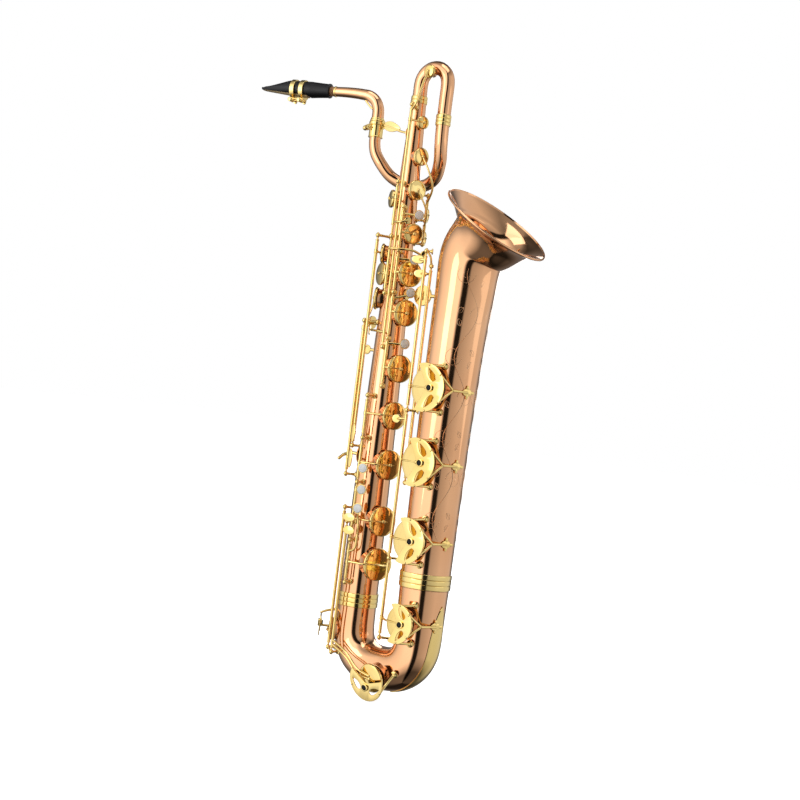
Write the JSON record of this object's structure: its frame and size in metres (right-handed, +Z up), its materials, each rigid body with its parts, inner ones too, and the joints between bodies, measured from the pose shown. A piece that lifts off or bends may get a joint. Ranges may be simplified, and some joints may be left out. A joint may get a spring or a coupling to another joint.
{
  "type": "baritone saxophone",
  "caption": "Baritone saxophone with a looped upper bow, curved neck, wide bell, bottom bow, hinged key work on steel rods and guarded bell keys.",
  "frame": {"origin": "the eye of the strap ring on the player's side of the body tube", "axes": "+X from the player to the bell, +Y the player's left, +Z up the body tube"},
  "size_m": [0.5552, 0.184, 1.0468],
  "materials": {
    "bronze_lacquer": "glossy clear lacquer over pink bronze",
    "gold_lacquer": "polished brass under gold lacquer",
    "hard_rubber": "satin black hard rubber",
    "cork": "sanded cork",
    "cane": "smooth cane"
  },
  "bodies": {
    "frame": {"bell": "bronze_lacquer", "bell_band": "gold_lacquer", "bell_brace": "gold_lacquer", "bell_key_posts": "gold_lacquer", "body_band": "gold_lacquer", "body_tube": "bronze_lacquer", "bottom_bow": "bronze_lacquer", "bow_plate": "gold_lacquer", "crook": "bronze_lacquer", "crook_band": "gold_lacquer", "e_flat_guard": "gold_lacquer", "left_posts": "gold_lacquer", "low_a_guard": "gold_lacquer", "low_b_flat_guard": "gold_lacquer", "low_b_guard": "gold_lacquer", "low_c_guard": "gold_lacquer", "low_c_sharp_guard": "gold_lacquer", "low_key_posts": "gold_lacquer", "lower_stack_posts": "gold_lacquer", "neck_receiver": "gold_lacquer", "octave_posts": "gold_lacquer", "palm_key_posts": "gold_lacquer", "receiver_brace": "gold_lacquer", "side_b_flat_posts": "gold_lacquer", "side_c_posts": "gold_lacquer", "strap_ring": "gold_lacquer", "thumb_hook": "gold_lacquer", "thumb_rest": "gold_lacquer", "upper_band": "gold_lacquer", "upper_bow": "bronze_lacquer", "upper_stack_posts": "gold_lacquer"},
    "neck_assembly": {"neck": "bronze_lacquer", "neck_cork": "cork", "mouthpiece": "hard_rubber", "reed": "cane", "ligature": "gold_lacquer"},
    "clamp_screw": {"neck_clamp_screw": "gold_lacquer"},
    "ligature_screw_front": {"ligature_screw_2": "gold_lacquer"},
    "ligature_screw_rear": {"ligature_screw_1": "gold_lacquer"},
    "a_key": {"a_key": "gold_lacquer"},
    "b_key": {"b_key": "gold_lacquer"},
    "c_key": {"c_key": "gold_lacquer"},
    "d_key": {"d_key": "gold_lacquer"},
    "e_flat_key": {"e_flat_key": "gold_lacquer"},
    "e_key": {"e_key": "gold_lacquer"},
    "f_key": {"f_key": "gold_lacquer"},
    "f_sharp_key": {"f_sharp_key": "gold_lacquer"},
    "front_f_key": {"front_f_key": "gold_lacquer"},
    "g_key": {"g_key": "gold_lacquer"},
    "g_sharp_key": {"g_sharp_key": "gold_lacquer"},
    "low_a_key": {"low_a_key": "gold_lacquer"},
    "low_b_flat_key": {"low_b_flat_key": "gold_lacquer"},
    "low_b_key": {"low_b_key": "gold_lacquer"},
    "low_c_key": {"low_c_key": "gold_lacquer"},
    "low_c_sharp_key": {"low_c_sharp_key": "gold_lacquer"},
    "octave_key": {"octave_key": "gold_lacquer"},
    "palm_d_key": {"palm_d_key": "gold_lacquer"},
    "palm_e_flat_key": {"palm_e_flat_key": "gold_lacquer"},
    "side_b_flat_key": {"side_b_flat_key": "gold_lacquer"},
    "side_c_key": {"side_c_key": "gold_lacquer"}
  },
  "joints": [
    {"name": "a_key_hinge", "type": "hinge", "parent": "frame", "child": "a_key", "pos_m": [0.0664, -0.03265, 0.0673], "axis": [0, 0, 1], "range_deg": [0, 10], "stiffness_Nm_per_rad": 0.3, "springref_deg": -6.88},
    {"name": "b_key_hinge", "type": "hinge", "parent": "frame", "child": "b_key", "pos_m": [0.0664, -0.03265, 0.1323], "axis": [0, 0, 1], "range_deg": [0, 9.9], "stiffness_Nm_per_rad": 0.3, "springref_deg": -6.88},
    {"name": "c_key_hinge", "type": "hinge", "parent": "frame", "child": "c_key", "pos_m": [0.0664, -0.03265, 0.2038], "axis": [0, 0, 1], "range_deg": [0, 10.5], "stiffness_Nm_per_rad": 0.3, "springref_deg": -6.88},
    {"name": "d_key_hinge", "type": "hinge", "parent": "frame", "child": "d_key", "pos_m": [0.05091, -0.04674, -0.3147], "axis": [0, 0, 1], "range_deg": [0, 5.3], "stiffness_Nm_per_rad": 0.3, "springref_deg": -6.88},
    {"name": "e_flat_key_hinge", "type": "hinge", "parent": "frame", "child": "e_flat_key", "pos_m": [0.02877, -0.04265, -0.379], "axis": [0, 0, 1], "range_deg": [0, 8], "stiffness_Nm_per_rad": 0.3, "springref_deg": -6.88},
    {"name": "e_key_hinge", "type": "hinge", "parent": "frame", "child": "e_key", "pos_m": [0.05091, -0.04674, -0.2642], "axis": [0, 0, 1], "range_deg": [0, 5.3], "stiffness_Nm_per_rad": 0.3, "springref_deg": -6.88},
    {"name": "f_key_hinge", "type": "hinge", "parent": "frame", "child": "f_key", "pos_m": [0.05091, -0.04674, -0.1825], "axis": [0, 0, 1], "range_deg": [0, 5.4], "stiffness_Nm_per_rad": 0.3, "springref_deg": -6.88},
    {"name": "f_sharp_key_hinge", "type": "hinge", "parent": "frame", "child": "f_sharp_key", "pos_m": [0.05091, -0.04674, -0.1105], "axis": [0, 0, 1], "range_deg": [0, 5.5], "stiffness_Nm_per_rad": 0.3, "springref_deg": -6.88},
    {"name": "front_f_key_hinge", "type": "hinge", "parent": "frame", "child": "front_f_key", "pos_m": [0.05277, -0.03841, 0.2385], "axis": [0, 0, 1], "range_deg": [0, 9], "stiffness_Nm_per_rad": 0.3, "springref_deg": -6.88},
    {"name": "g_key_hinge", "type": "hinge", "parent": "frame", "child": "g_key", "pos_m": [0.0664, -0.03265, -0.0142], "axis": [0, 0, 1], "range_deg": [0, 9.7], "stiffness_Nm_per_rad": 0.3, "springref_deg": -6.88},
    {"name": "g_sharp_key_hinge", "type": "hinge", "parent": "frame", "child": "g_sharp_key", "pos_m": [0.05277, -0.03841, 0.1355], "axis": [0, 0, 1], "range_deg": [0, 9], "stiffness_Nm_per_rad": 0.3, "springref_deg": -6.88},
    {"name": "low_a_key_hinge", "type": "hinge", "parent": "frame", "child": "low_a_key", "pos_m": [0.128, -0.038, -0.397], "axis": [0, 0, 1], "range_deg": [0, 6.8], "stiffness_Nm_per_rad": 0.3, "springref_deg": -6.88},
    {"name": "low_b_flat_key_hinge", "type": "hinge", "parent": "frame", "child": "low_b_flat_key", "pos_m": [0.128, -0.038, 0.0375], "axis": [0, 0, 1], "range_deg": [0, 6.4], "stiffness_Nm_per_rad": 0.3, "springref_deg": -6.88},
    {"name": "low_b_key_hinge", "type": "hinge", "parent": "frame", "child": "low_b_key", "pos_m": [0.133, -0.027, -0.0325], "axis": [0, 0, 1], "range_deg": [0, 6.9], "stiffness_Nm_per_rad": 0.3, "springref_deg": -6.88},
    {"name": "low_c_key_hinge", "type": "hinge", "parent": "frame", "child": "low_c_key", "pos_m": [0.04098, -0.04774, -0.42086], "axis": [0, 0, 1], "range_deg": [0, 3.8], "stiffness_Nm_per_rad": 0.3, "springref_deg": -6.88},
    {"name": "low_c_sharp_key_hinge", "type": "hinge", "parent": "frame", "child": "low_c_sharp_key", "pos_m": [0.128, -0.038, -0.2125], "axis": [0, 0, 1], "range_deg": [0, 6.8], "stiffness_Nm_per_rad": 0.3, "springref_deg": -6.88},
    {"name": "octave_key_hinge", "type": "hinge", "parent": "frame", "child": "octave_key", "pos_m": [0.05944, -0.03501, 0.244], "axis": [0, 0, 1], "range_deg": [-7, 0], "stiffness_Nm_per_rad": 0.3, "springref_deg": 6.88},
    {"name": "palm_d_key_hinge", "type": "hinge", "parent": "frame", "child": "palm_d_key", "pos_m": [0.07127, 0.02275, 0.23537], "axis": [0, 0, 1], "range_deg": [0, 8], "stiffness_Nm_per_rad": 0.3, "springref_deg": -6.88},
    {"name": "palm_e_flat_key_hinge", "type": "hinge", "parent": "frame", "child": "palm_e_flat_key", "pos_m": [0.07127, 0.02275, 0.28187], "axis": [0, 0, 1], "range_deg": [0, 8], "stiffness_Nm_per_rad": 0.3, "springref_deg": -6.88},
    {"name": "side_b_flat_key_hinge", "type": "hinge", "parent": "frame", "child": "side_b_flat_key", "pos_m": [0.01706, -0.03704, -0.0485], "axis": [0, 0, 1], "range_deg": [0, 9], "stiffness_Nm_per_rad": 0.3, "springref_deg": -6.88},
    {"name": "side_c_key_hinge", "type": "hinge", "parent": "frame", "child": "side_c_key", "pos_m": [0.02627, -0.04045, 0.0135], "axis": [0, 0, 1], "range_deg": [0, 9], "stiffness_Nm_per_rad": 0.3, "springref_deg": -6.88},
    {"name": "neck_swivel", "type": "hinge", "parent": "frame", "child": "neck_assembly", "pos_m": [-0.038, 0, 0.387], "axis": [0, 0, 1], "range_deg": [-40, 40]},
    {"name": "clamp_screw_turn", "type": "hinge", "parent": "frame", "child": "clamp_screw", "pos_m": [-0.0455, -0.01299, 0.374], "axis": [0.866, -0.5, 0], "range_deg": [0, 720]},
    {"name": "ligature_screw_rear_turn", "type": "hinge", "parent": "neck_assembly", "child": "ligature_screw_rear", "pos_m": [-0.17482, -0.04183, 0.41281], "axis": [0.2924, -0.9563, 0], "range_deg": [0, 720]},
    {"name": "ligature_screw_front_turn", "type": "hinge", "parent": "neck_assembly", "child": "ligature_screw_front", "pos_m": [-0.19073, -0.04669, 0.41298], "axis": [0.2924, -0.9563, 0], "range_deg": [0, 720]}
  ],
  "couplings": [
    {"joint": "f_sharp_key_hinge", "follows": "f_key_hinge", "ratio": 1}
  ]
}
